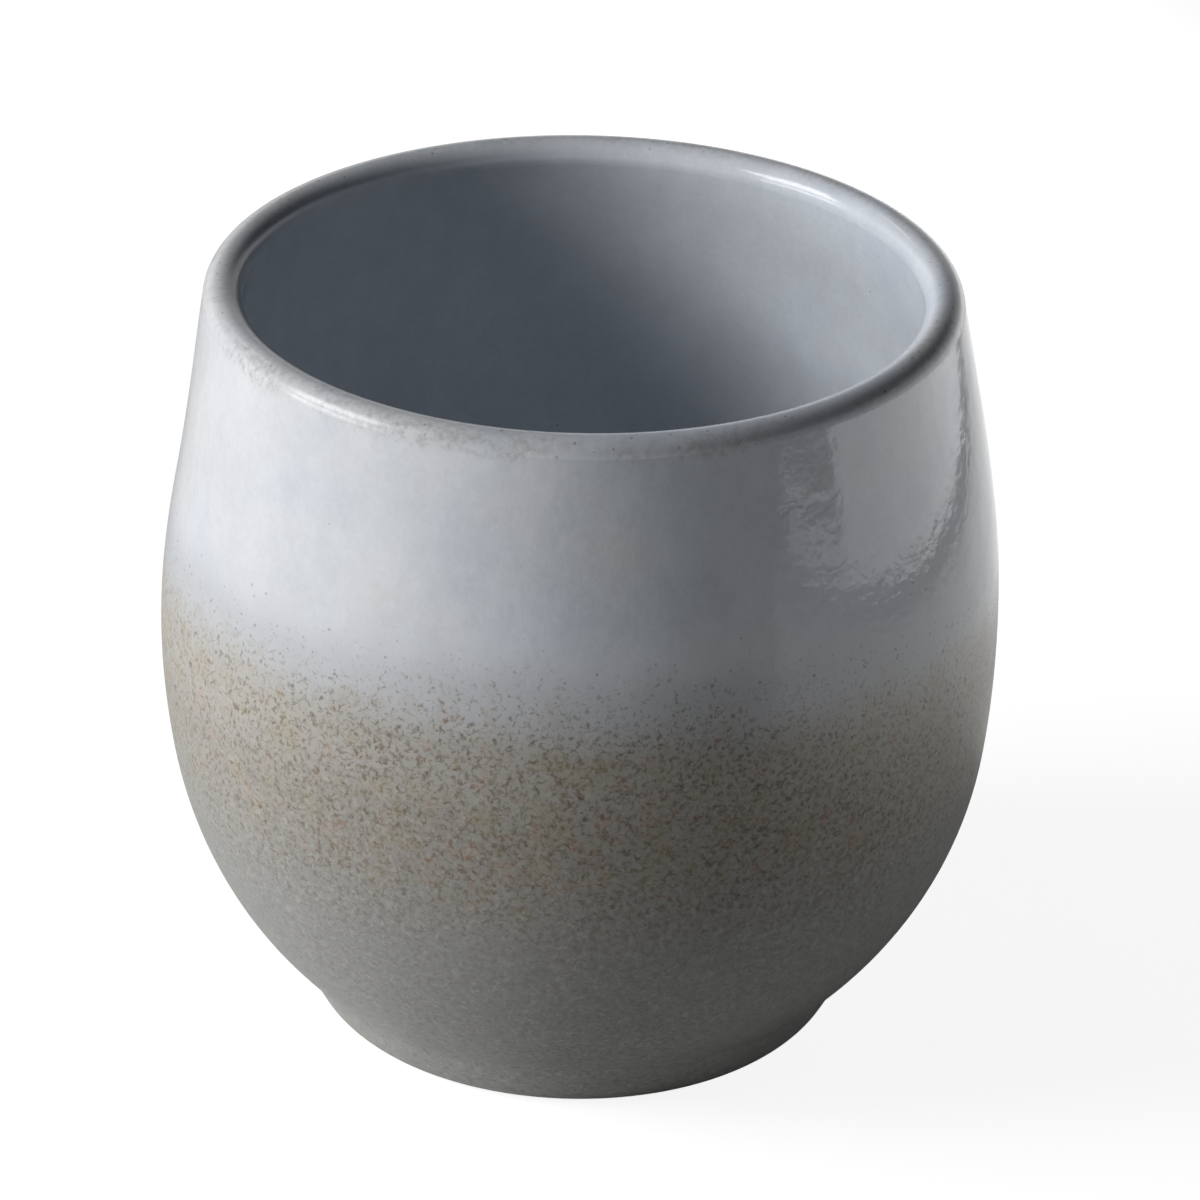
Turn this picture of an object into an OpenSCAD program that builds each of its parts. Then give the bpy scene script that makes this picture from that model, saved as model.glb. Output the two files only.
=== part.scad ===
// Handleless stoneware tea cup: a thick-walled barrel bowl on a turned foot ring,
// glazed inside and out. Millimetres, +Z up, origin at the centre of the foot on the table.
// Every piece is turned about the same axis from a half section (radius, height).

/* [Bowl] */
// Height from the table to the top of the lip
height = 80; // [74:1:90]
// Widest diameter, over the glaze
belly_d = 85; // [80:1:92]
// Height of the widest level
belly_z = 43; // [40:0.5:46]
// Radius of the long arc that swells the belly
belly_arc_r = 88; // [75:1:120]
// How much smaller the round lower bowl is than the belly, on the radius
bowl_inset = 0.5; // [0.3:0.1:1.2]
// Lean of the straight upper wall, inward from upright, in degrees
wall_lean = 9.2; // [7.5:0.1:11]

/* [Wall] */
// Thickness of the wall with both glazes; the lip is a full round of this thickness
wall_t = 4; // [3:0.1:5]
// Thickness of each glaze coat
glaze_t = 0.4; // [0.2:0.05:0.6]
// Height of the inside floor above the table
floor_z = 10.6; // [9:0.2:14]
// Radius of the round between the inside floor and the wall
floor_fillet_r = 12; // [6:1:18]

/* [Foot] */
// Height of the crease between the foot and the bowl
foot_h = 6; // [5:0.1:7]
// How far the resting edge lies inside the crease, on the radius
foot_set_in = 6.6; // [5.8:0.1:7.6]
// Radius of the rounded outer edge under the foot
foot_edge_r = 4.8; // [4:0.1:5.2]
// Width of the flat ring that touches the table
foot_flat_w = 4.5; // [3:0.1:8]
// Radius of the rounded inner edge under the foot
recess_edge_r = 1.5; // [0.5:0.1:2.5]

/* [Coats] */
// Height at which the glossy upper coat gives way to the speckled overlap
band_top_z = 52; // [46:0.5:55]
// Slope of the foot's edge at which the lower coat is wiped off, in degrees below level
wipe_slope = 60; // [45:1:63]
// Height of bare clay left on the inside of the foot ring
recess_bare_h = 2.6; // [1.8:0.1:3.6]
// Radius of the glaze that pools in the corner of the foot's hollow
pool_r = 1.5; // [0.6:0.1:2]

/* [Hidden] */
$fn = 96;

// Turn between neighbouring points of a long arc and of a small round, in degrees
long_step = 2.5;
round_step = 10;

// Points of an arc after its first one, about c, from angle a to angle b
function arc(c, r, a, b, step = long_step) =
    let (steps = ceil(abs(b - a) / step))
    [for (i = [1 : steps]) polar(c, r, a + (b - a) * i / steps)];
function polar(c, r, a) = c + r * [cos(a), sin(a)];
function backward(line) = [for (i = [len(line) - 1 : -1 : 0]) line[i]];
function angle_from(c, p) = atan2(p[1] - c[1], p[0] - c[0]);

// Centres and limits of the arcs. The lower bowl is part of a sphere whose centre is on the axis.
bowl_r = belly_d / 2 - bowl_inset;
belly_c = [belly_d / 2 - belly_arc_r, belly_z];
bowl_a = -acos((belly_arc_r - belly_d / 2) / (belly_arc_r - bowl_r));
bowl_c = [0, belly_z + (belly_arc_r - bowl_r) * sin(bowl_a)];
band_a = asin((band_top_z - belly_z) / belly_arc_r);

// The straight wall ends where the round lip begins. A depth is measured in from the outside.
wall_up = [-sin(wall_lean), cos(wall_lean)];
wall_mid = polar(belly_c, belly_arc_r - wall_t / 2, wall_lean);
wall_run = (height - wall_t / 2 - wall_mid[1]) / wall_up[1];
lip_c = wall_mid + wall_run * wall_up;
function wall_top(depth) = polar(lip_c, wall_t / 2 - depth, wall_lean);

// The foot's side is a straight line from its rounded edge up to the crease.
foot_crease = [sqrt(bowl_r ^ 2 - (bowl_c[1] - foot_h) ^ 2), foot_h];
foot_c = [foot_crease[0] - foot_set_in, foot_edge_r];
foot_a = angle_from(foot_c, foot_crease)
    - acos((foot_edge_r + glaze_t) / norm(foot_crease - foot_c));
side_up = [-sin(foot_a), cos(foot_a)];
function foot_r(depth) = foot_edge_r + glaze_t - depth;
function crease(depth) =
    let (from = polar(foot_c, foot_r(depth), foot_a) - bowl_c)
    let (along = from * side_up)
    let (reach = sqrt(along ^ 2 - from * from + (bowl_r - depth) ^ 2))
    bowl_c + from + (-along - reach) * side_up;
clay_crease = crease(glaze_t);
seam_z = clay_crease[1];
recess_edge_c = [foot_c[0] - foot_flat_w, recess_edge_r];
recess_r = recess_edge_c[0] - recess_edge_r;

// Round between the inside floor and the inside of the bowl
inner_r = bowl_r - wall_t;
fillet_z = floor_z + floor_fillet_r;
fillet_c = [sqrt((inner_r - floor_fillet_r) ^ 2 - (bowl_c[1] - fillet_z) ^ 2), fillet_z];
fillet_a = angle_from(bowl_c, fillet_c);

// Stretches of the half section at one depth, each without its first point
function bowl_stretch(depth) =
    arc(bowl_c, bowl_r - depth, angle_from(bowl_c, crease(depth)), bowl_a);
function band_stretch(depth) = concat(
    arc(belly_c, belly_arc_r - depth, bowl_a, 0),
    arc(belly_c, belly_arc_r - depth, 0, band_a));
function upper_stretch(depth) =
    concat(arc(belly_c, belly_arc_r - depth, band_a, wall_lean), [wall_top(depth)]);
function lip_stretch(depth) =
    arc(lip_c, wall_t / 2 - depth, wall_lean, wall_lean + 180, round_step);

// Whole lines of the half section at one depth
function lower_line(depth) = concat(
    [polar(foot_c, foot_r(depth), -wipe_slope)],
    arc(foot_c, foot_r(depth), -wipe_slope, foot_a, round_step),
    [crease(depth)],
    bowl_stretch(depth));
function band_line(depth) =
    concat([polar(belly_c, belly_arc_r - depth, bowl_a)], band_stretch(depth));
function upper_line(depth) =
    concat([polar(belly_c, belly_arc_r - depth, band_a)], upper_stretch(depth));
function lip_line(depth) = concat([wall_top(depth)], lip_stretch(depth));
function inside_line(depth) =
    let (skin = wall_t - depth)
    concat(
        [[0, floor_z - skin], [fillet_c[0], floor_z - skin]],
        arc(fillet_c, floor_fillet_r + skin, -90, fillet_a),
        arc(bowl_c, bowl_r - depth, fillet_a, bowl_a),
        arc(belly_c, belly_arc_r - depth, bowl_a, wall_lean),
        [wall_top(depth)]);

module turned(section) {
    rotate_extrude() polygon(section);
}

// A coat fills the space between two lines of the half section.
module coat(surface, back) {
    turned(concat(surface, backward(back)));
}

// Thick clay wall and floor, flat underneath where the foot ring is joined
module clay_bowl() {
    inside = inside_line(wall_t - glaze_t);
    color("tan") turned(concat(
        [[0, seam_z], clay_crease],
        bowl_stretch(glaze_t),
        band_stretch(glaze_t),
        upper_stretch(glaze_t),
        lip_stretch(glaze_t),
        backward([for (i = [0 : len(inside) - 2]) inside[i]])));
}

// Ring of bare clay that the cup stands on, rounded under both edges
module foot_ring() {
    color("rosybrown") turned(concat(
        [[recess_r, seam_z], [recess_r, recess_edge_r]],
        arc(recess_edge_c, recess_edge_r, 180, 270, round_step),
        [[foot_c[0], 0]],
        arc(foot_c, foot_edge_r, -90, -wipe_slope, round_step),
        arc(foot_c, foot_edge_r, -wipe_slope, foot_a, round_step),
        [clay_crease]));
}

// Glossy coat over the inside floor and wall
module liner_glaze() {
    color("lightsteelblue") coat(inside_line(wall_t), inside_line(wall_t - glaze_t));
}

// Coat round the lip, where the glaze runs thin and the clay shows through
module lip_glaze() {
    color("darkkhaki") coat(lip_line(0), lip_line(glaze_t));
}

// Glossy pale coat on the upper outside wall
module upper_glaze() {
    color("lightblue") coat(upper_line(0), upper_line(glaze_t));
}

// Belt where the two outside coats overlap and break into rusty specks
module speckled_band() {
    color("burlywood") coat(band_line(0), band_line(glaze_t));
}

// Satin grey coat over the lower bowl and the side of the foot
module lower_glaze() {
    color("darkgray") coat(lower_line(0), lower_line(glaze_t));
}

// Coat inside the hollow of the foot, thicker where it pools in the corner
module underside_glaze() {
    front_r = recess_r - glaze_t;
    front_z = seam_z - glaze_t;
    pool_c = [front_r - pool_r, front_z - pool_r];
    color("silver") turned(concat(
        [[0, seam_z], [0, front_z], [pool_c[0], front_z]],
        arc(pool_c, pool_r, 90, 0, round_step),
        [[front_r, recess_bare_h], [recess_r, recess_bare_h], [recess_r, seam_z]]));
}

clay_bowl();
foot_ring();
liner_glaze();
lip_glaze();
upper_glaze();
speckled_band();
lower_glaze();
underside_glaze();
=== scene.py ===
from math import acos, asin, atan2, ceil, cos, hypot, pi, radians, sin, sqrt

import bpy
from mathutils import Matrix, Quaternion, Vector


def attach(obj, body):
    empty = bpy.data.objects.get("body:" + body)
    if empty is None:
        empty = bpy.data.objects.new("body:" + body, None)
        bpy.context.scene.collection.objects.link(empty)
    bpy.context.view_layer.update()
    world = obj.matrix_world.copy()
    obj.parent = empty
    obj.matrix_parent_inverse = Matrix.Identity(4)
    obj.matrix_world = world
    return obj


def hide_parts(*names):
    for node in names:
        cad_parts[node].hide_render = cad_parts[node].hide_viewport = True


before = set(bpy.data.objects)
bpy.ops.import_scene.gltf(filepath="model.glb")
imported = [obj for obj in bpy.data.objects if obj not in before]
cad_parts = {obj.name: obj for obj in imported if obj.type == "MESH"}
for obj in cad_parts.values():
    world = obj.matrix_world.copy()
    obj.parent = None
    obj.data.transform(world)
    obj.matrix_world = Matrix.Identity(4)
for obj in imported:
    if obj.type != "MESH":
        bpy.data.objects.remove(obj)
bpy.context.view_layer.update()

BODY = "root"

# Bowl, in metres. Every piece is turned about the upright axis from a half section (radius, height).
HEIGHT = 0.080
BELLY_D = 0.085
BELLY_Z = 0.043
BELLY_ARC_R = 0.088
BOWL_INSET = 0.0005
WALL_LEAN = radians(9.2)
WALL_T = 0.004
GLAZE_T = 0.0004
FLOOR_Z = 0.0106
FLOOR_FILLET_R = 0.012

# Foot
FOOT_H = 0.006
FOOT_SET_IN = 0.0066
FOOT_EDGE_R = 0.0048
FOOT_FLAT_W = 0.0045
RECESS_EDGE_R = 0.0015

# Coats
BAND_TOP_Z = 0.052
WIPE_SLOPE = radians(60)
RECESS_BARE_H = 0.0026
POOL_R = 0.0015

# Fineness of the turned meshes: sides round the axis, and spacing along the section
SIDES = 256
LONG_STEP = 0.0012
ROUND_STEP = 0.0003
MERGE_DISTANCE = 1e-6
SHARP_EDGE = radians(35)

# Unevenness of a hand-made pot: the wall sways from side to side up its height, and swells here and there
SWAY = 0.00025
SWAY_WAVE = 0.042
SWAY_STILL_Z = 0.050
SWELL = 0.00010
SWELL_SIZE = 0.030
SWELL_DETAIL = 1.0
SWELL_PLACE = (0.31, 0.07, 0.52)


# Half section

def polar(centre, r, a):
    return (centre[0] + r * cos(a), centre[1] + r * sin(a))


def angle_from(centre, point):
    return atan2(point[1] - centre[1], point[0] - centre[0])


def arc(centre, r, a, b, spacing=LONG_STEP):
    """Points of an arc after its first one."""
    steps = ceil(r * abs(b - a) / spacing)
    return [polar(centre, r, a + (b - a) * i / steps) for i in range(1, steps + 1)]


def straight(start, end, spacing=LONG_STEP):
    """Points of a straight line after its first one."""
    steps = ceil(hypot(end[0] - start[0], end[1] - start[1]) / spacing)
    return [(start[0] + (end[0] - start[0]) * i / steps, start[1] + (end[1] - start[1]) * i / steps)
            for i in range(1, steps + 1)]


# Centres and limits of the arcs
BOWL_R = BELLY_D / 2 - BOWL_INSET
BELLY_C = (BELLY_D / 2 - BELLY_ARC_R, BELLY_Z)
BOWL_A = -acos((BELLY_ARC_R - BELLY_D / 2) / (BELLY_ARC_R - BOWL_R))
BOWL_C = (0, BELLY_Z + (BELLY_ARC_R - BOWL_R) * sin(BOWL_A))
BAND_A = asin((BAND_TOP_Z - BELLY_Z) / BELLY_ARC_R)
WALL_MID = polar(BELLY_C, BELLY_ARC_R - WALL_T / 2, WALL_LEAN)
WALL_RUN = (HEIGHT - WALL_T / 2 - WALL_MID[1]) / cos(WALL_LEAN)
LIP_C = polar(WALL_MID, WALL_RUN, WALL_LEAN + pi / 2)

FOOT_CREASE = (sqrt(BOWL_R ** 2 - (BOWL_C[1] - FOOT_H) ** 2), FOOT_H)
FOOT_C = (FOOT_CREASE[0] - FOOT_SET_IN, FOOT_EDGE_R)
FOOT_REACH = hypot(FOOT_CREASE[0] - FOOT_C[0], FOOT_CREASE[1] - FOOT_C[1])
FOOT_A = angle_from(FOOT_C, FOOT_CREASE) - acos((FOOT_EDGE_R + GLAZE_T) / FOOT_REACH)
RECESS_EDGE_C = (FOOT_C[0] - FOOT_FLAT_W, RECESS_EDGE_R)
RECESS_R = RECESS_EDGE_C[0] - RECESS_EDGE_R

FILLET_Z = FLOOR_Z + FLOOR_FILLET_R
FILLET_REACH = BOWL_R - WALL_T - FLOOR_FILLET_R
FILLET_C = (sqrt(FILLET_REACH ** 2 - (BOWL_C[1] - FILLET_Z) ** 2), FILLET_Z)
FILLET_A = angle_from(BOWL_C, FILLET_C)


# Stretches and lines of the section at one depth in from the outside. A stretch lacks its first point.

def wall_top(depth):
    return polar(LIP_C, WALL_T / 2 - depth, WALL_LEAN)


def foot_r(depth):
    return FOOT_EDGE_R + GLAZE_T - depth


def crease(depth):
    """Where the straight side of the foot meets the round bowl."""
    foot = polar(FOOT_C, foot_r(depth), FOOT_A)
    side = (-sin(FOOT_A), cos(FOOT_A))
    off = (foot[0] - BOWL_C[0], foot[1] - BOWL_C[1])
    along = off[0] * side[0] + off[1] * side[1]
    reach = sqrt(along ** 2 - off[0] ** 2 - off[1] ** 2 + (BOWL_R - depth) ** 2)
    return (foot[0] - (along + reach) * side[0], foot[1] - (along + reach) * side[1])


SEAM_Z = crease(GLAZE_T)[1]


def bowl_stretch(depth):
    return arc(BOWL_C, BOWL_R - depth, angle_from(BOWL_C, crease(depth)), BOWL_A)


def band_stretch(depth):
    r = BELLY_ARC_R - depth
    return arc(BELLY_C, r, BOWL_A, 0) + arc(BELLY_C, r, 0, BAND_A)


def upper_stretch(depth):
    swell = arc(BELLY_C, BELLY_ARC_R - depth, BAND_A, WALL_LEAN)
    return swell + straight(swell[-1], wall_top(depth))


def lip_stretch(depth):
    return arc(LIP_C, WALL_T / 2 - depth, WALL_LEAN, WALL_LEAN + pi, ROUND_STEP)


def lower_line(depth):
    start = polar(FOOT_C, foot_r(depth), -WIPE_SLOPE)
    edge = arc(FOOT_C, foot_r(depth), -WIPE_SLOPE, FOOT_A, ROUND_STEP)
    return [start] + edge + straight(edge[-1], crease(depth)) + bowl_stretch(depth)


def band_line(depth):
    return [polar(BELLY_C, BELLY_ARC_R - depth, BOWL_A)] + band_stretch(depth)


def upper_line(depth):
    return [polar(BELLY_C, BELLY_ARC_R - depth, BAND_A)] + upper_stretch(depth)


def lip_line(depth):
    return [wall_top(depth)] + lip_stretch(depth)


def inside_line(depth):
    skin = WALL_T - depth
    middle = (0, FLOOR_Z - skin)
    rise = arc(BELLY_C, BELLY_ARC_R - depth, BOWL_A, WALL_LEAN)
    return ([middle] + straight(middle, (FILLET_C[0], FLOOR_Z - skin))
            + arc(FILLET_C, FLOOR_FILLET_R + skin, -pi / 2, FILLET_A)
            + arc(BOWL_C, BOWL_R - depth, FILLET_A, BOWL_A)
            + rise + straight(rise[-1], wall_top(depth)))


# Closed sections of the pieces

def between(outer, inner):
    """Section that fills the space between two lines, the first being farther from the axis."""
    return outer + inner[::-1]


def outside_coat_section(line):
    return between(line(0), line(GLAZE_T))


def inside_coat_section():
    return between(inside_line(WALL_T - GLAZE_T), inside_line(WALL_T))


def clay_bowl_section():
    corner = crease(GLAZE_T)
    inside = inside_line(WALL_T - GLAZE_T)
    return ([(0, SEAM_Z)] + straight((0, SEAM_Z), corner) + bowl_stretch(GLAZE_T) + band_stretch(GLAZE_T)
            + upper_stretch(GLAZE_T) + lip_stretch(GLAZE_T) + inside[-2::-1])


def foot_ring_section():
    return ([(RECESS_R, SEAM_Z)] + straight((RECESS_R, SEAM_Z), (RECESS_R, RECESS_EDGE_R))
            + arc(RECESS_EDGE_C, RECESS_EDGE_R, pi, 3 * pi / 2, ROUND_STEP)
            + straight((RECESS_EDGE_C[0], 0), (FOOT_C[0], 0))
            + arc(FOOT_C, FOOT_EDGE_R, -pi / 2, FOOT_A, ROUND_STEP)
            + straight(polar(FOOT_C, FOOT_EDGE_R, FOOT_A), crease(GLAZE_T)))


def underside_section():
    front_r = RECESS_R - GLAZE_T
    front_z = SEAM_Z - GLAZE_T
    pool = (front_r - POOL_R, front_z - POOL_R)
    return ([(0, SEAM_Z), (0, front_z)] + straight((0, front_z), (pool[0], front_z))
            + arc(pool, POOL_R, pi / 2, 0, ROUND_STEP)
            + [(front_r, RECESS_BARE_H), (RECESS_R, RECESS_BARE_H), (RECESS_R, SEAM_Z)])


# Node building

# Cover of a dot by the distance from its middle, in radii: two distances, and the cover at each
DOT_COVER = (0.3, 1.2, 1.0, 0.0)


class Bench:
    """Adds nodes to one tree. A value that is a socket is joined, any other is set on the input itself."""

    def __init__(self, tree):
        self.tree = tree
        self.tree.nodes.clear()

    def node(self, kind, inputs=None, **settings):
        node = self.tree.nodes.new(kind)
        for name, value in settings.items():
            setattr(node, name, value)
        for name, value in (inputs or {}).items():
            self.set(node.inputs[name], value)
        return node

    def set(self, socket, value):
        if isinstance(value, bpy.types.NodeSocket):
            self.tree.links.new(value, socket)
        else:
            socket.default_value = value

    def math(self, operation, *values):
        return self.node("ShaderNodeMath", dict(enumerate(values)), operation=operation).outputs[0]

    def plus(self, first, *others):
        for other in others:
            first = self.math("ADD", first, other)
        return first

    def minus(self, first, second):
        return self.math("SUBTRACT", first, second)

    def times(self, first, *others):
        for other in others:
            first = self.math("MULTIPLY", first, other)
        return first

    def divided(self, first, second):
        return self.math("DIVIDE", first, second)

    def vector(self, operation, *values, output=0):
        node = self.node("ShaderNodeVectorMath", dict(enumerate(values)), operation=operation)
        return node.outputs[output]

    def scaled(self, vector, factor):
        inputs = {"Vector": vector, "Scale": factor}
        return self.node("ShaderNodeVectorMath", inputs, operation="SCALE").outputs[0]

    def place(self):
        """Place on the object, in metres."""
        return self.node("ShaderNodeTexCoord").outputs["Object"]

    def height(self, place):
        return self.node("ShaderNodeSeparateXYZ", {"Vector": place}).outputs[2]

    def flat(self, place):
        """The place without its height."""
        return self.vector("MULTIPLY", place, (1.0, 1.0, 0.0))

    def radius(self, place):
        """Distance from the upright axis."""
        return self.vector("LENGTH", self.flat(place), output=1)

    def towards(self, place, azimuth):
        """How far the place lies in a level direction."""
        return self.vector("DOT_PRODUCT", place, (cos(azimuth), sin(azimuth), 0.0), output=1)

    def smooth(self, value, low, high, at_low=0.0, at_high=1.0):
        """Eases from at_low to at_high while the value goes from low to high."""
        inputs = {"Value": value, "From Min": low, "From Max": high, "To Min": at_low, "To Max": at_high}
        return self.node("ShaderNodeMapRange", inputs, interpolation_type="SMOOTHSTEP").outputs[0]

    def noise(self, place, size, detail, roughness, distortion=0.0):
        """Cloudy noise about one half, with lumps of the given size in metres."""
        inputs = {"Vector": place, "Scale": 1 / size, "Detail": detail, "Roughness": roughness,
                  "Distortion": distortion}
        return self.node("ShaderNodeTexNoise", inputs).outputs[0]

    def swing(self, noise, reach):
        """The noise moved to swing about zero, by half the reach to either side."""
        return self.times(self.minus(noise, 0.5), reach)

    def dots(self, place, size, share, least, most):
        """Soft dots of a radius from least to most, one in each cell that the share lets through.
        Gives the cover, from 0 to 1, and a random number for each dot."""
        cells = self.node("ShaderNodeTexVoronoi", {"Vector": place, "Scale": 1 / size})
        draws = self.node("ShaderNodeSeparateColor", {"Color": cells.outputs["Color"]}).outputs
        present = self.math("LESS_THAN", draws[0], share)
        radius = self.smooth(draws[1], 0.0, 1.0, least / size, most / size)
        dot = self.smooth(self.divided(cells.outputs["Distance"], radius), *DOT_COVER)
        return self.times(present, dot), draws[2]

    def mix(self, share, below, above, blend="MIX"):
        """Mix of two colours. The node has inputs of the same name for other kinds, so these go by number."""
        node = self.node("ShaderNodeMix", data_type="RGBA", blend_type=blend)
        for socket, value in ((0, share), (6, below), (7, above)):
            self.set(node.inputs[socket], value)
        return node.outputs[2]

    def ramp(self, value, stops):
        """Colour ramp with stops (place from 0 to 1, colour)."""
        node = self.node("ShaderNodeValToRGB", {"Fac": value})
        node.color_ramp.interpolation = "EASE"
        elements = node.color_ramp.elements
        while len(elements) < len(stops):
            elements.new(1.0)
        for element, (place, colour) in zip(elements, stops):
            element.position = place
            element.color = colour
        return node.outputs[0]

    def shape(self, kind, geometry, inputs=None, **settings):
        """Geometry that a node makes of the given one."""
        return self.node(kind, dict(inputs or {}, Geometry=geometry), **settings).outputs[0]

    def surface(self, shader):
        self.node("ShaderNodeOutputMaterial", {"Surface": shader})


def rgb(red, green, blue):
    return (red, green, blue, 1.0)


def blank_material(name):
    """New material without nodes, and the bench that adds them."""
    material = bpy.data.materials.new(name)
    material.use_nodes = True
    return material, Bench(material.node_tree)


# Turned pieces

# Inputs of their node tree: name, kind and value
TURNING = (
    ("Sides", "Int", SIDES),
    ("Sway", "Float", SWAY),
    ("Sway Wave", "Float", SWAY_WAVE),
    ("Sway Still Height", "Float", SWAY_STILL_Z),
    ("Swell", "Float", SWELL),
    ("Swell Size", "Float", SWELL_SIZE),
    ("Swell Place", "Vector", SWELL_PLACE),
    ("Full Height", "Float", HEIGHT),
    ("Sharp Edge", "Float", SHARP_EDGE))


def turned_piece_tree():
    """Turns a half section about the upright axis, makes it a little uneven, and gives it its finish."""
    tree = bpy.data.node_groups.new("turned_piece", "GeometryNodeTree")
    face = tree.interface
    face.new_socket("Section", in_out="INPUT", socket_type="NodeSocketGeometry")
    for name, kind, _ in TURNING:
        face.new_socket(name, in_out="INPUT", socket_type="NodeSocket" + kind)
    face.new_socket("Finish", in_out="INPUT", socket_type="NodeSocketMaterial")
    face.new_socket("Piece", in_out="OUTPUT", socket_type="NodeSocketGeometry")

    bench = Bench(tree)
    given = bench.node("NodeGroupInput").outputs
    section = given["Section"]
    count = bench.node("GeometryNodeAttributeDomainSize", {"Geometry": section}, component="MESH").outputs[0]
    columns = bench.plus(given["Sides"], 1)
    grid = bench.node("GeometryNodeMeshGrid", {"Vertices X": columns, "Vertices Y": count}).outputs[0]

    # Each column of the grid is one copy of the section, turned to its own angle
    index = bench.node("GeometryNodeInputIndex").outputs[0]
    column = bench.math("FLOOR", bench.divided(bench.plus(index, 0.5), count))
    row = bench.minus(index, bench.times(column, count))
    place = bench.node("GeometryNodeInputPosition").outputs[0]
    half = bench.node("GeometryNodeSampleIndex", {"Geometry": section, "Value": place, "Index": row},
                      data_type="FLOAT_VECTOR", domain="POINT").outputs[0]
    turn = bench.divided(bench.times(column, 2 * pi), given["Sides"])
    turned = bench.node("ShaderNodeVectorRotate", {"Vector": half, "Angle": turn}, rotation_type="Z_AXIS")
    shape = bench.shape("GeometryNodeSetPosition", grid, {"Position": turned.outputs[0]})
    shape = bench.shape("GeometryNodeMergeByDistance", shape, {"Distance": MERGE_DISTANCE})

    # Sway: a wave sideways that grows with height. Swell: slow lumps outward, none at the table.
    level = bench.height(place)
    share = bench.divided(level, given["Full Height"])
    above = bench.minus(level, given["Sway Still Height"])
    wave = bench.math("SINE", bench.divided(bench.times(above, 2 * pi), given["Sway Wave"]))
    sway = bench.node("ShaderNodeCombineXYZ", {"X": bench.times(wave, share, given["Sway"])}).outputs[0]
    moved = bench.vector("ADD", place, given["Swell Place"])
    scale = bench.divided(1.0, given["Swell Size"])
    lumps = bench.node("ShaderNodeTexNoise", {"Vector": moved, "Scale": scale, "Detail": SWELL_DETAIL})
    swelling = bench.times(bench.swing(lumps.outputs[0], given["Swell"]), share)
    outward = bench.vector("NORMALIZE", bench.flat(place))
    move = bench.vector("ADD", sway, bench.scaled(outward, swelling))
    shape = bench.shape("GeometryNodeSetPosition", shape, {"Offset": move})

    # Smooth shading, but for the sharp edges
    bend = bench.node("GeometryNodeInputMeshEdgeAngle").outputs[0]
    sharp = bench.node("FunctionNodeCompare", {0: bend, 1: given["Sharp Edge"]}, operation="GREATER_THAN")
    shape = bench.shape("GeometryNodeSetShadeSmooth", shape, domain="FACE")
    shape = bench.shape("GeometryNodeSetShadeSmooth", shape,
                        {"Selection": sharp.outputs[0], "Shade Smooth": False}, domain="EDGE")
    shape = bench.shape("GeometryNodeRealizeInstances", shape)
    shape = bench.shape("GeometryNodeSetMaterial", shape, {"Material": given["Finish"]})
    bench.node("NodeGroupOutput", {"Piece": shape})
    return tree


def turned_piece(tree, name, section, finish, node):
    """One finished piece: the section turned by the tree, as a plain mesh that stands for its CAD node."""
    points = [(r, 0.0, z) for r, z in section + section[:1]]
    mesh = bpy.data.meshes.new(name)
    mesh.from_pydata(points, [(i, i + 1) for i in range(len(points) - 1)], [])
    piece = bpy.data.objects.new(name, mesh)
    bpy.context.scene.collection.objects.link(piece)
    modifier = piece.modifiers.new("turning", "NODES")
    modifier.node_group = tree
    values = {label: value for label, _, value in TURNING}
    values["Finish"] = finish
    for item in tree.interface.items_tree:
        if item.in_out == "INPUT" and item.name in values:
            modifier[item.identifier] = values[item.name]
    baked = bpy.data.meshes.new_from_object(piece.evaluated_get(bpy.context.evaluated_depsgraph_get()))
    piece.modifiers.clear()
    piece.data = baked
    bpy.data.meshes.remove(mesh)
    baked.name = name
    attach(piece, BODY)
    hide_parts(node)


# Colours of the glazes and the clay
PALE = rgb(0.597, 0.617, 0.647)
PALE_WORN = rgb(0.49, 0.503, 0.53)
LINER = rgb(0.68, 0.723, 0.785)
LIP_GREY = rgb(0.24, 0.222, 0.195)
CREAM = rgb(0.41, 0.396, 0.362)
DRAB = rgb(0.333, 0.32, 0.29)
GREY = rgb(0.308, 0.306, 0.296)
OCHRE = rgb(0.36, 0.315, 0.215)
ROSE = rgb(0.40, 0.31, 0.26)
FLECK_LIGHT = rgb(0.47, 0.456, 0.42)
FLECK_GREY = rgb(0.21, 0.205, 0.19)
FLECK_BROWN = rgb(0.165, 0.13, 0.09)
FLECK_OLIVE = rgb(0.19, 0.155, 0.08)
FLECK_RUST = rgb(0.26, 0.135, 0.08)
SPECK_BROWN = rgb(0.10, 0.075, 0.05)
SPECK_RUST = rgb(0.24, 0.10, 0.05)
CLAY = rgb(0.42, 0.34, 0.26)
CLAY_TOASTED = rgb(0.36, 0.22, 0.13)
CLAY_SPECK = rgb(0.10, 0.08, 0.06)

# Most values below are of three kinds. A noise has the size of its lumps in metres, its detail, its
# roughness and, if any, its distortion. An ease has the two ends of what goes in and, unless they are
# 0 and 1, of what comes out. Dots have the size of a cell, the share of cells with a dot, the least and
# the most radius of a dot, and a strength.

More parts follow.
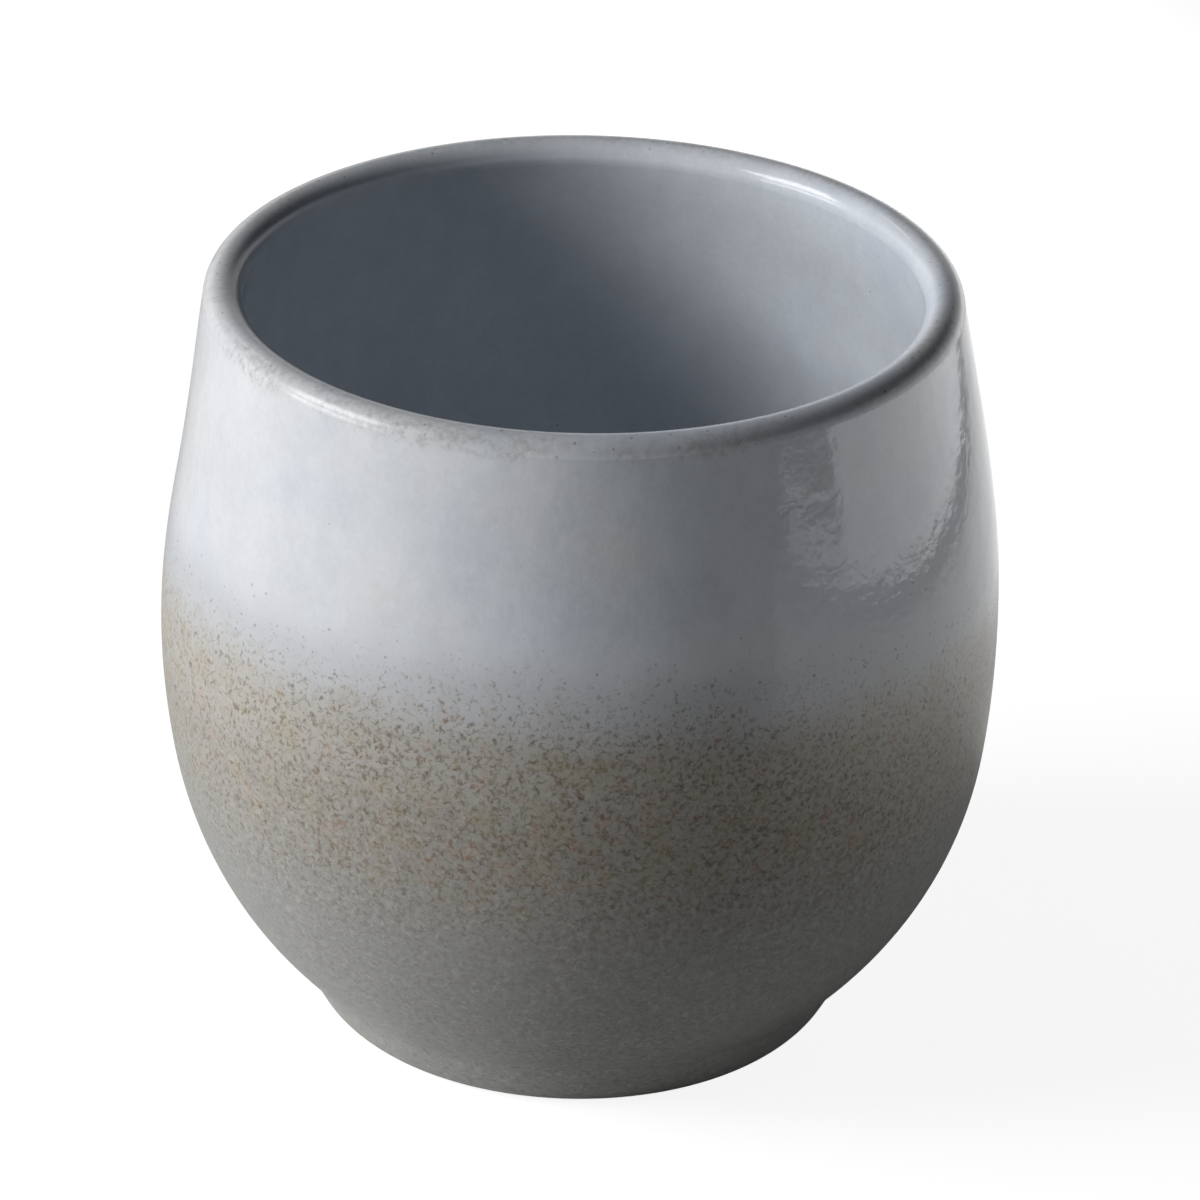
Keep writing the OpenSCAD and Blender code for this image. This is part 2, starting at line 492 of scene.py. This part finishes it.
# Pale gloss: clouds, a finer haze and grain, a few dots, and an orange-peel surface
CLOUD = (0.009, 3.0, 0.55)
CLOUD_SHADE = (0.25, 0.75, 0.96, 1.04)
HAZE = (0.0022, 3.0, 0.6)
HAZE_SHADE = (0.25, 0.75, -0.025, 0.025)
GRAIN = (0.0006, 2.0, 0.6)
GRAIN_SHADE = (0.2, 0.8, -0.03, 0.03)
GLOSS_DOTS = (0.0036, 0.30, 0.00008, 0.00018, 0.6)
GLOSS_ROUGH = (0.3, 0.7, 0.06, 0.09)
RIPPLE = (0.0035, 2.0, 0.5)
RIPPLE_HEIGHT = 1.6
PEEL = (0.0010, 3.0, 0.55)
PEEL_HEIGHT = 0.75
GLAZE_RELIEF = 0.00003
GLAZE_SHINE = 0.5
GLAZE_IOR = 1.5

# Warm and blue clouds in the pale gloss, as shares of its colour; the blue ones are partly the glaze's own
# clouds and partly painted cool shade, as most of them lean to the side away from the key lamp
WARM_CLOUD = rgb(1.01, 1.0, 0.985)
BLUE_CLOUD_AND_COOL_SHADE = rgb(0.925, 0.95, 0.985)
BLUE = (0.013, 2.0, 0.5)
BLUE_SHARE = (0.45, 0.80)
COOL_SHADE_FACING = radians(-60)
COOL_SHADE_LEAN = 6.0

# Lip, where the glaze runs thin: most on its outer shoulder, less on its crest, in blotches
LIP_BLEND = (LIP_C[0] - WALL_T / 4, LIP_C[0] + WALL_T / 4)
LIP_MATT = 0.08
LIP_RELIEF = GLAZE_RELIEF / 2
LIP_SHINE = 0.3
MOTTLE = (0.0007, 3.0, 0.65)
MOTTLE_REACH = 0.0015
MOTTLE_SHARE = (0.36, 0.70, 0.08, 0.48)
BLOTCH = (0.007, 2.0, 0.5)
BLOTCH_REACH = 0.002
BLOTCH_SHARE = (0.35, 0.62, 0.30, 1.0)
THIN_LEVEL = (0.0775, 0.0789)
THIN_RADIUS = (LIP_C[0] - 0.0018, LIP_C[0] - 0.0006)
THIN_ROUGH = 0.10
THIN_DOTS = (0.0009, 0.35, 0.00009, 0.00022, 0.5)
CREST_SHARE = (LIP_C[0] + 0.0002, LIP_C[0] + 0.0012, 0.55, 1.0)

# The overlap of the two outside coats lies on a plane that is almost level, a little higher at the front.
# Colours and gloss change over a stretch that starts above that plane and ends below it.
OVERLAP_Z = 0.0532
OVERLAP_TILT = 0.0015
OVERLAP_FACING = radians(-110)
OVERLAP_START = -0.008
OVERLAP_END = 0.032
WANDER = (0.014, 3.0, 0.6)
WANDER_REACH = 0.005

# Belt along that stretch, and the ground between its specks, with ochre and rosy patches
BELT_START = (0.16, 0.36)
BELT_END = (0.54, 0.98, 1.0, 0.0)
GROUND = ((0.02, PALE), (0.22, PALE_WORN), (0.38, CREAM), (0.60, DRAB), (0.95, GREY))
GROUND_START = (0.02, 0.22)
OCHRE_PATCH = (0.0034, 2.0, 0.6)
OCHRE_SPREAD = (0.50, 0.66)
OCHRE_STRENGTH = 0.35
ROSE_PATCH = (0.0024, 2.0, 0.6)
ROSE_SPREAD = (0.56, 0.68)
ROSE_STRENGTH = 0.25

# Soft flecks: light curds and dark lumps
FLECK_START = (0.14, 0.40)
FLECK_TINTS = ((0.15, FLECK_GREY), (0.36, FLECK_BROWN), (0.66, FLECK_BROWN), (1.0, FLECK_GREY))
CURDS = (0.0008, 2.0, 0.6, 0.8)
CURD_SHARE = (0.46, 0.72, 0.0, 0.48)
LUMPS = (0.00052, 2.0, 0.6, 0.7)
LUMP_START = (0.0, 0.24)
LUMP_LEAST = (0.0, 0.44, 0.66, 0.465)
LUMP_SHARE = (0.0, 0.26, 0.0, 0.78)
CORE_SHARE = (0.18, 0.36, 0.0, 0.7)

# The flecks crowd together on this side, the front, where the coat is darker too: partly its own tone, partly
# painted shade of the front, which gets less light than the left
CROWD_FACING = radians(-85)
CROWD_RANGE = (0.45, 1.0)
CROWD_MORE = 0.05
CROWD_TONE_AND_SHADE = 0.14

# Specks, more of them rusty in the rosy patches
SPECKS = ((0.0014, 0.7, 0.00011, 0.00024, 0.5), (0.0009, 0.7, 0.00009, 0.00018, 0.45))
SPECK_START = (0.0, 0.26)
SPECK_END = (0.54, 0.98, 1.0, 0.1)
RUST_SHARE = (0.75, 1.05)
ROSE_RUST = 0.6

# Satin surface from the belt down
SATIN_START = (0.10, 0.50)
SATIN_GRAIN = (0.0004, 2.0, 0.6)
SATIN_ROUGH = (0.2, 0.8, 0.38, 0.50)
SATIN_HEIGHT = 0.5

# Bare clay: sand, clouds, grit, and a toasted edge beside the glaze
SAND = (0.0004, 3.0, 0.7)
SAND_SHADE = (0.2, 0.8, 0.78, 1.16)
CLAY_CLOUD = (0.006, 3.0, 0.6)
CLAY_ROUGH = (0.3, 0.7, 0.78, 0.9)
CLAY_RELIEF = 0.00006
GRIT = (0.0011, 0.3, 0.00010, 0.00026, 0.8)
TOAST_REACH = 0.0015
TOAST_LEVEL = (0.0006, 0.0022)
TOAST_STRENGTH = 0.7


def dotted(bench, place, kind, tint, colour, where=1.0):
    """The colour with dots of one kind and tint."""
    size, share, least, most, strength = kind
    dot, _ = bench.dots(place, size, bench.times(where, share), least, most)
    return bench.mix(bench.times(dot, strength), colour, tint)


def glaze_group(name):
    """Shader group for a colour, a roughness and a height, still empty, with its bench and place."""
    tree = bpy.data.node_groups.new(name, "ShaderNodeTree")
    for output, kind in (("Color", "Color"), ("Roughness", "Float"), ("Height", "Float")):
        tree.interface.new_socket(output, in_out="OUTPUT", socket_type="NodeSocket" + kind)
    bench = Bench(tree)
    return tree, bench, bench.place()


def gloss_group(name, inside, outside, matt=0.0):
    """Pale coat, glossy or a little matt: soft clouds, painted cool shade on one side, a few dark dots, and a
    grey break over the lip.
    Its colour goes from the inside one to the outside one over the crest of the lip."""
    tree, bench, place = glaze_group(name)
    radius = bench.radius(place)
    cloud = bench.noise(place, *CLOUD)
    shade = bench.plus(bench.smooth(cloud, *CLOUD_SHADE),
                       bench.smooth(bench.noise(place, *GRAIN), *GRAIN_SHADE),
                       bench.smooth(bench.noise(place, *HAZE), *HAZE_SHADE))
    colour = bench.mix(bench.smooth(radius, *LIP_BLEND), inside, outside)
    colour = bench.mix(1.0, colour, shade, "MULTIPLY")
    # Painted cool shade: the blue clouds gather on the side that faces away from the key lamp
    blue_clouds_and_cool_shade = bench.plus(bench.noise(place, *BLUE), bench.times(bench.towards(place, COOL_SHADE_FACING), COOL_SHADE_LEAN))
    tint = bench.mix(bench.smooth(blue_clouds_and_cool_shade, *BLUE_SHARE), WARM_CLOUD, BLUE_CLOUD_AND_COOL_SHADE)
    colour = bench.mix(1.0, colour, tint, "MULTIPLY")

    # Break over the lip, with a ragged edge
    mottle = bench.noise(place, *MOTTLE)
    blotch = bench.noise(place, *BLOTCH)
    ragged = bench.plus(bench.height(place), bench.swing(mottle, MOTTLE_REACH),
                        bench.swing(blotch, BLOTCH_REACH))
    thin = bench.times(bench.smooth(ragged, *THIN_LEVEL), bench.smooth(radius, *THIN_RADIUS))
    broken = bench.times(thin, bench.smooth(radius, *CREST_SHARE), bench.smooth(mottle, *MOTTLE_SHARE),
                         bench.smooth(blotch, *BLOTCH_SHARE))
    colour = bench.mix(broken, colour, LIP_GREY)

    # Few dark dots, and finer ones where the glaze is thin
    colour = dotted(bench, place, GLOSS_DOTS, SPECK_BROWN, colour)
    colour = dotted(bench, place, THIN_DOTS, SPECK_BROWN, colour, thin)

    height = bench.plus(bench.times(bench.noise(place, *RIPPLE), RIPPLE_HEIGHT),
                        bench.times(bench.noise(place, *PEEL), PEEL_HEIGHT))
    rough = bench.plus(bench.smooth(cloud, *GLOSS_ROUGH), bench.times(thin, THIN_ROUGH), matt)
    bench.node("NodeGroupOutput", {"Color": colour, "Roughness": rough, "Height": height})
    return tree


def on_side(bench, place, azimuth):
    """From -1 to 1 round the belly, 1 being on the side that faces this way."""
    return bench.towards(bench.scaled(place, 2 / BELLY_D), azimuth)


def overlap_share(bench, place):
    """How far a place lies along the change from the upper coat to the lower one, from 0 to 1."""
    tilt = bench.times(on_side(bench, place, OVERLAP_FACING), OVERLAP_TILT)
    wander = bench.swing(bench.noise(place, *WANDER), WANDER_REACH)
    depth = bench.minus(bench.plus(tilt, OVERLAP_Z, wander), bench.height(place))
    inputs = {"Value": depth, "From Min": OVERLAP_START, "From Max": OVERLAP_END}
    return bench.node("ShaderNodeMapRange", inputs).outputs[0]


def belt_ground(bench, along, ochre, rose):
    """Colour of the ground between the specks."""
    ground = bench.ramp(along, GROUND)
    ground = bench.mix(bench.times(ochre, OCHRE_STRENGTH), ground, OCHRE)
    return bench.mix(bench.times(rose, ROSE_STRENGTH), ground, ROSE)


def fleck_tint(bench, along, ochre, rose):
    """Colour of the dark flecks, olive and rusty in the patches."""
    tint = bench.ramp(along, FLECK_TINTS)
    tint = bench.mix(ochre, tint, FLECK_OLIVE)
    return bench.mix(rose, tint, FLECK_RUST)


def with_flecks(bench, place, along, belt, tint, colour):
    """The colour with soft flecks that run into each other. The dark ones have a darker core."""
    reach = bench.smooth(along, *FLECK_START)
    light = bench.times(bench.smooth(bench.noise(place, *CURDS), *CURD_SHARE), reach)
    colour = bench.mix(light, colour, FLECK_LIGHT)
    crowd = bench.smooth(on_side(bench, place, CROWD_FACING), *CROWD_RANGE)
    # Darker on the crowded side: partly the coat's own tone, partly painted shade
    darker = bench.times(crowd, reach, CROWD_TONE_AND_SHADE)
    colour = bench.mix(1.0, colour, bench.minus(1.0, darker), "MULTIPLY")
    least = bench.minus(bench.smooth(along, *LUMP_LEAST), bench.times(crowd, CROWD_MORE))
    above = bench.minus(bench.noise(place, *LUMPS), least)
    dark = bench.times(bench.smooth(above, *LUMP_SHARE), bench.smooth(along, *LUMP_START))
    colour = bench.mix(dark, colour, tint)
    core = bench.times(bench.smooth(above, *CORE_SHARE), belt)
    return bench.mix(core, colour, SPECK_BROWN)


def with_specks(bench, place, along, rose, colour):
    """The colour with specks: single dots that start above the belt and thin out below it."""
    dense = bench.times(bench.smooth(along, *SPECK_START), bench.smooth(along, *SPECK_END))
    for size, share, least, most, strength in SPECKS:
        dot, draw = bench.dots(place, size, bench.times(dense, share), least, most)
        rusty = bench.smooth(bench.plus(draw, bench.times(rose, ROSE_RUST)), *RUST_SHARE)
        speck = bench.mix(rusty, SPECK_BROWN, SPECK_RUST)
        colour = bench.mix(bench.times(dot, strength), colour, speck)
    return colour


def outside_group(gloss):
    """Outside coats: the pale gloss gives way to a belt of rusty specks, and that to a plain satin grey."""
    tree, bench, place = glaze_group("outside_coats")
    pale = bench.node("ShaderNodeGroup", node_tree=gloss).outputs
    along = overlap_share(bench, place)
    belt = bench.times(bench.smooth(along, *BELT_START), bench.smooth(along, *BELT_END))
    ochre = bench.times(bench.smooth(bench.noise(place, *OCHRE_PATCH), *OCHRE_SPREAD), belt)
    rose = bench.times(bench.smooth(bench.noise(place, *ROSE_PATCH), *ROSE_SPREAD), belt)
    ground = belt_ground(bench, along, ochre, rose)
    colour = bench.mix(bench.smooth(along, *GROUND_START), pale["Color"], ground)
    colour = with_flecks(bench, place, along, belt, fleck_tint(bench, along, ochre, rose), colour)
    colour = with_specks(bench, place, along, rose, colour)

    satin = bench.smooth(along, *SATIN_START)
    grain = bench.noise(place, *SATIN_GRAIN)
    rough = bench.plus(bench.times(pale["Roughness"], bench.minus(1.0, satin)),
                       bench.times(bench.smooth(grain, *SATIN_ROUGH), satin))
    height = bench.plus(pale["Height"], bench.times(grain, satin, SATIN_HEIGHT))
    bench.node("NodeGroupOutput", {"Color": colour, "Roughness": rough, "Height": height})
    return tree


def relief_surface(bench, relief, height, inputs):
    """Surface of a material, with a bump of the given relief in metres."""
    bump = bench.node("ShaderNodeBump", {"Strength": 1.0, "Distance": relief, "Height": height}).outputs[0]
    bench.surface(bench.node("ShaderNodeBsdfPrincipled", dict(inputs, Normal=bump)).outputs[0])


def glaze_finish(name, group, relief=GLAZE_RELIEF, shine=GLAZE_SHINE):
    """Glaze over clay: colour, gloss and relief from a group."""
    material, bench = blank_material(name)
    look = bench.node("ShaderNodeGroup", node_tree=group).outputs
    relief_surface(bench, relief, look["Height"],
                   {"Base Color": look["Color"], "Roughness": look["Roughness"], "IOR": GLAZE_IOR,
                    "Specular IOR Level": shine})
    return material


def clay_finish():
    """Bare fired clay: sandy grain, dark grit, and a toasted edge beside the glaze."""
    material, bench = blank_material("bare_clay")
    place = bench.place()
    sand = bench.noise(place, *SAND)
    cloud = bench.noise(place, *CLAY_CLOUD)
    level = bench.plus(bench.height(place), bench.times(cloud, TOAST_REACH))
    toasted = bench.times(bench.smooth(level, *TOAST_LEVEL), TOAST_STRENGTH)
    colour = bench.mix(toasted, CLAY, CLAY_TOASTED)
    colour = bench.mix(1.0, colour, bench.smooth(sand, *SAND_SHADE), "MULTIPLY")
    colour = dotted(bench, place, GRIT, CLAY_SPECK, colour)
    rough = bench.smooth(cloud, *CLAY_ROUGH)
    relief_surface(bench, CLAY_RELIEF, sand, {"Base Color": colour, "Roughness": rough})
    return material


# Stage. Its azimuths are in degrees, counted from +X towards +Y.
STAGE_SIZE = 6.0
CEILING_Z = 1.1
FLOOR_GLOW = 0.88
FLOOR_SEEN = 0.30
FLOOR_BOUNCE = 0.85
ROOM = rgb(0.85, 0.93, 1.0)
ROOM_STRENGTH = 0.01
FULL_WHITE = rgb(1.0, 1.0, 1.0)
# Colours of the cards that only the gloss of the cup shows: painted dark, grey and white reflections
PAINTED_DARK_REFLECTION = rgb(0.01, 0.01, 0.01)
PAINTED_GAP_REFLECTION = rgb(0.50, 0.50, 0.50)
WHITE = rgb(0.85, 0.85, 0.85)

# Lamps: name, azimuth, elevation, distance, size, power, colour, and how far each is moved aside.
# The two on the right are a bright card that stands close to the cup, with a gap across it.
PLAIN_LIGHT = (1.0, 1.0, 1.0)
COOL_LIGHT = (0.95, 0.975, 1.0)
RIGHT_AZIMUTH = 25
RIGHT_DISTANCE = 0.188
LAMPS = (
    ("key", -168, 29, 1.0, (0.54, 0.34), 0.82, PLAIN_LIGHT, 0.0),
    ("low_fill", -166, 6, 1.2, (0.70, 0.24), 0.36, PLAIN_LIGHT, 0.0),
    ("right_card_foot", RIGHT_AZIMUTH, -6.34, RIGHT_DISTANCE, (0.64, 0.0095), 0.067, COOL_LIGHT, 0.0),
    ("right_card", RIGHT_AZIMUTH, 3.66, RIGHT_DISTANCE, (0.50, 0.056), 0.325, COOL_LIGHT, 0.065),
    ("rim_strip", 125, 36, 1.2, (0.05, 0.22), 0.02, PLAIN_LIGHT, 0.0))


def beyond_card(distance, aside):
    """Point on the floor in the direction of the right card."""
    turn = radians(RIGHT_AZIMUTH)
    return (distance * cos(turn) - aside * sin(turn), distance * sin(turn) + aside * cos(turn))


def square(size):
    half = size / 2
    return ((-half, -half), (half, -half), (half, half), (-half, half))


# Levels and corners of the cards on the floor, painted reflections that only the gloss of the cup shows:
# black ones in front of the cup and at its right side paint dark reflections, a grey strip paints the gap of
# the right card, and a matt white one on the left
CARD_Z = 0.0005
FRONT_CARD_Z = 0.0007
FRONT_CARD = ((-0.78, -1.0), (0.105, -1.0), (0.105, 0.02), (0.05, 0.05), (0.012, 0.068), (-0.01, 0.0),
              (-0.02, -0.026))
SIDE_CARD = ((0.105, -1.0), (2.0, -1.0), (2.0, -0.48), (0.46, -0.14), (0.437, -0.204), (0.405, -0.285),
             (0.34, -0.275), (0.105, -0.10))
GAP_NEAR = 0.205
GAP_FAR = 0.245
GAP_ASIDE = 0.45
GAP_CARD = (beyond_card(GAP_NEAR, -GAP_ASIDE), beyond_card(GAP_FAR, -GAP_ASIDE),
            beyond_card(GAP_FAR, GAP_ASIDE), beyond_card(GAP_NEAR, GAP_ASIDE))
LEFT_CARD = ((-1.5, -1.0), (-0.05, -1.0), (-0.05, -0.18), (-0.01, -0.05), (-0.01, 0.0), (-0.05, 1.0),
             (-1.5, 1.0))

# All the cards, and a black ceiling, as painted reflections: name, corners, level, colour, and the fades of a
# glow, a painted reflected light, which keep an edge from showing as a hard line. A fade has the azimuths of
# its start and end, and the glow at each.
REFLECTION_CARDS = (
    ("front_painted_reflection", FRONT_CARD, FRONT_CARD_Z, PAINTED_DARK_REFLECTION, ((-120, -84, 0.38, 0.0), (40, 75, 0.0, 0.8))),
    ("side_painted_reflection", SIDE_CARD, CARD_Z, PAINTED_DARK_REFLECTION, ((-64, -36, 0.0, 0.6),)),
    ("gap_painted_reflection", GAP_CARD, CARD_Z, PAINTED_GAP_REFLECTION, ((-10, 50, 0.45, 0.22),)),
    ("left_painted_reflection", LEFT_CARD, CARD_Z, WHITE, ()),
    ("ceiling_painted_reflection", square(STAGE_SIZE), CEILING_Z, PAINTED_DARK_REFLECTION, ()))


def seen_rays(bench):
    """1 for rays that come from the camera, straight or by way of a gloss or a glass."""
    path = bench.node("ShaderNodeLightPath").outputs
    mirrored = bench.math("MAXIMUM", path["Is Glossy Ray"], path["Is Transmission Ray"])
    return bench.math("MAXIMUM", path["Is Camera Ray"], mirrored)


def stage_sheet(name, corners, level, material):
    """Flat sheet of the stage that faces up. Its glow isn't sampled as a lamp."""
    material.cycles.emission_sampling = "NONE"
    mesh = bpy.data.meshes.new(name)
    mesh.from_pydata([(x, y, level) for x, y in corners], [], [tuple(range(len(corners)))])
    mesh.materials.append(material)
    sheet = bpy.data.objects.new(name, mesh)
    bpy.context.scene.collection.objects.link(sheet)
    return sheet


def white_floor():
    """White floor that throws back the light that falls on it and keeps a faint shadow. Where it is seen, it
    glows to a full white. From below it is clear, so that the foot can be looked at."""
    material, bench = blank_material("white_floor")
    seen = seen_rays(bench)
    shade = bench.plus(FLOOR_BOUNCE, bench.times(seen, FLOOR_SEEN - FLOOR_BOUNCE))
    bounce = bench.node("ShaderNodeBsdfDiffuse", {"Color": shade}).outputs[0]
    glow = bench.node("ShaderNodeEmission", {"Strength": bench.times(seen, FLOOR_GLOW)}).outputs[0]
    top = bench.node("ShaderNodeAddShader", {0: bounce, 1: glow}).outputs[0]
    clear = bench.node("ShaderNodeBsdfTransparent").outputs[0]
    back = bench.node("ShaderNodeNewGeometry").outputs["Backfacing"]
    bench.surface(bench.node("ShaderNodeMixShader", {0: back, 1: top, 2: clear}).outputs[0])
    stage_sheet("floor", square(STAGE_SIZE), 0.0, material)


def painted_reflection_card(name, corners, level, colour, fades):
    """Painted reflection: a level card that only the gloss of the cup shows. Each fade adds a glow that goes
    by the azimuth, a painted reflected light.
    """
    material, bench = blank_material(name)
    x, y, _ = bench.node("ShaderNodeSeparateXYZ", {"Vector": bench.place()}).outputs
    azimuth = bench.math("ARCTAN2", y, x)
    shader = bench.node("ShaderNodeBsdfDiffuse", {"Color": colour}).outputs[0]
    for start, end, glow_start, glow_end in fades:
        strength = bench.smooth(azimuth, radians(start), radians(end), glow_start, glow_end)
        glow = bench.node("ShaderNodeEmission", {"Strength": strength}).outputs[0]
        shader = bench.node("ShaderNodeAddShader", {0: shader, 1: glow}).outputs[0]
    bench.surface(shader)
    card = stage_sheet(name, corners, level, material)
    card.visible_camera = False
    card.visible_diffuse = False
    card.visible_transmission = False
    card.visible_shadow = False


def pale_room():
    """Room light all round: white where it is seen, dim on the cup."""
    world = bpy.data.worlds.new("pale_room")
    bpy.context.scene.world = world
    world.use_nodes = True
    bench = Bench(world.node_tree)
    dim = bench.node("ShaderNodeBackground", {"Color": ROOM, "Strength": ROOM_STRENGTH}).outputs[0]
    white = bench.node("ShaderNodeBackground", {"Color": FULL_WHITE, "Strength": 1.0}).outputs[0]
    shader = bench.node("ShaderNodeMixShader", {0: seen_rays(bench), 1: dim, 2: white}).outputs[0]
    bench.node("ShaderNodeOutputWorld", {"Surface": shader})


def on_dome(azimuth, elevation, distance, centre):
    """Point round the centre, with both angles in radians."""
    level = distance * cos(elevation)
    return centre + Vector((level * cos(azimuth), level * sin(azimuth), distance * sin(elevation)))


def softbox(name, azimuth, elevation, distance, size, power, colour, aside):
    """Soft lamp that faces the cup, moved aside to its own right. Its power is the light that it would throw
    on a white card if it were far off, 1 being full."""
    lamp = bpy.data.lights.new(name, "AREA")
    lamp.shape = "RECTANGLE"
    lamp.size, lamp.size_y = size
    lamp.color = colour
    lamp.energy = power * pi * pi * distance ** 2
    light = bpy.data.objects.new(name, lamp)
    target = Vector((0, 0, HEIGHT / 2))
    light.location = on_dome(radians(azimuth), radians(elevation), distance, target)
    light.rotation_mode = "QUATERNION"
    light.rotation_quaternion = (target - light.location).to_track_quat("-Z", "Y")
    light.location += light.rotation_quaternion @ Vector((aside, 0, 0))
    light.visible_camera = False
    bpy.context.scene.collection.objects.link(light)


# Camera: fitted to the cup's outline
CAMERA_LENS = 210
CAMERA_SENSOR = 36
CAMERA_DISTANCE = 0.7137
CAMERA_AZIMUTH = radians(-90)
CAMERA_ELEVATION = radians(27.21)
CAMERA_ORBIT_C = Vector((0, 0, 0.040))
CAMERA_AIM = Vector((0.00195, 0.00174, 0.04339))
CAMERA_ROLL = radians(1.146)


def studio_camera():
    data = bpy.data.cameras.new("camera")
    data.lens = CAMERA_LENS
    data.sensor_width = CAMERA_SENSOR
    camera = bpy.data.objects.new("camera", data)
    camera.location = on_dome(CAMERA_AZIMUTH, CAMERA_ELEVATION, CAMERA_DISTANCE, CAMERA_ORBIT_C)
    look = (CAMERA_AIM - camera.location).to_track_quat("-Z", "Y")
    camera.rotation_mode = "QUATERNION"
    camera.rotation_quaternion = look @ Quaternion((0, 0, 1), CAMERA_ROLL)
    bpy.context.scene.collection.objects.link(camera)
    bpy.context.scene.camera = camera


def cup():
    """All eight pieces of the cup."""
    tree = turned_piece_tree()
    coats = glaze_finish("outside_coats", outside_group(gloss_group("upper_gloss", PALE, PALE)))
    liner = glaze_finish("liner_gloss", gloss_group("liner_gloss", LINER, LINER))
    lip = glaze_finish("lip_gloss", gloss_group("lip_gloss", LINER, PALE, LIP_MATT), LIP_RELIEF, LIP_SHINE)
    clay = clay_finish()
    for name, section, finish, node, slot in (
            ("bowl_wall", clay_bowl_section(), clay, "clay_bowl", "body_clay"),
            ("foot", foot_ring_section(), clay, "foot_ring", "foot_clay"),
            ("inside_coat", inside_coat_section(), liner, "liner_glaze", "liner_gloss"),
            ("lip_coat", outside_coat_section(lip_line), lip, "lip_glaze", "lip_break"),
            ("upper_coat", outside_coat_section(upper_line), coats, "upper_glaze", "upper_gloss"),
            ("belt_coat", outside_coat_section(band_line), coats, "speckled_band", "speckle"),
            ("lower_coat", outside_coat_section(lower_line), coats, "lower_glaze", "lower_satin"),
            ("base_coat", underside_section(), coats, "underside_glaze", "underside_gloss")):
        turned_piece(tree, name, section, finish, node)


studio_camera()
white_floor()
# Painted reflections: cards that only the gloss of the cup shows
for card in REFLECTION_CARDS:
    painted_reflection_card(*card)
pale_room()
for lamp in LAMPS:
    softbox(*lamp)
cup()

bpy.context.scene.view_settings.view_transform = "Standard"
